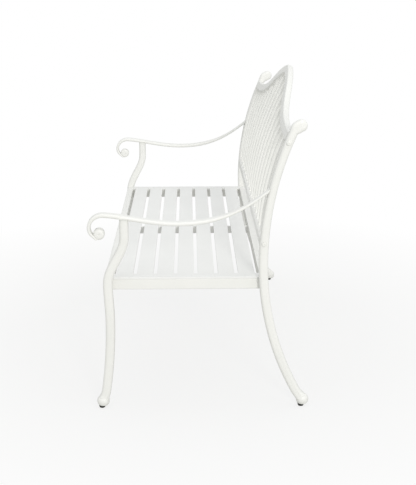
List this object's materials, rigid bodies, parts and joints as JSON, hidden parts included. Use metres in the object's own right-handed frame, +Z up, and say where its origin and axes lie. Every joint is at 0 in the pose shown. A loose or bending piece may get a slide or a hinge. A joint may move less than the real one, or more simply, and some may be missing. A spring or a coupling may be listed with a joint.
{
  "type": "garden bench",
  "caption": "White cast-aluminium garden bench: slatted seat, scrolled arms, cabriole legs, and a bowed bar back under a peaked crest rail.",
  "frame": {"origin": "on the ground, at the middle of the bench's footprint", "axes": "+X along the bench towards the sitter's left hand, -Y towards the front, +Z up"},
  "size_m": [1.238, 0.6602, 0.9759],
  "materials": {
    "frame_coat": "satin white powder coat on cast aluminium",
    "panel_coat": "satin white powder coat on extruded aluminium",
    "fixings_coat": "white-painted bolt and screw heads",
    "glide_plastic": "matte black moulded plastic"
  },
  "bodies": {
    "root": {"front_leg_left": "frame_coat", "front_leg_right": "frame_coat", "rear_leg_left": "frame_coat", "rear_leg_right": "frame_coat", "armrest_left": "frame_coat", "armrest_right": "frame_coat", "glide_front_left": "glide_plastic", "glide_front_right": "glide_plastic", "glide_rear_left": "glide_plastic", "glide_rear_right": "glide_plastic", "side_rail_left": "panel_coat", "side_rail_right": "panel_coat", "seat_front_rail": "panel_coat", "seat_rear_rail": "panel_coat", "seat_end_strip_left": "panel_coat", "seat_end_strip_right": "panel_coat", "seat_crossbar": "panel_coat", "seat_slat_1": "panel_coat", "seat_slat_2": "panel_coat", "seat_slat_3": "panel_coat", "seat_slat_4": "panel_coat", "seat_slat_5": "panel_coat", "seat_slat_6": "panel_coat", "seat_slat_7": "panel_coat", "crest_rail": "frame_coat", "bottom_rail": "panel_coat", "back_bar_1": "panel_coat", "back_bar_2": "panel_coat", "back_bar_3": "panel_coat", "back_bar_4": "panel_coat", "back_bar_5": "panel_coat", "back_bar_6": "panel_coat", "back_bar_7": "panel_coat", "back_bar_8": "panel_coat", "back_bar_9": "panel_coat", "back_bar_10": "panel_coat", "back_bar_11": "panel_coat", "back_bar_12": "panel_coat", "back_bar_13": "panel_coat", "back_bar_14": "panel_coat", "back_bar_15": "panel_coat", "back_bolts": "fixings_coat", "seat_screws": "fixings_coat"}
  },
  "joints": []
}
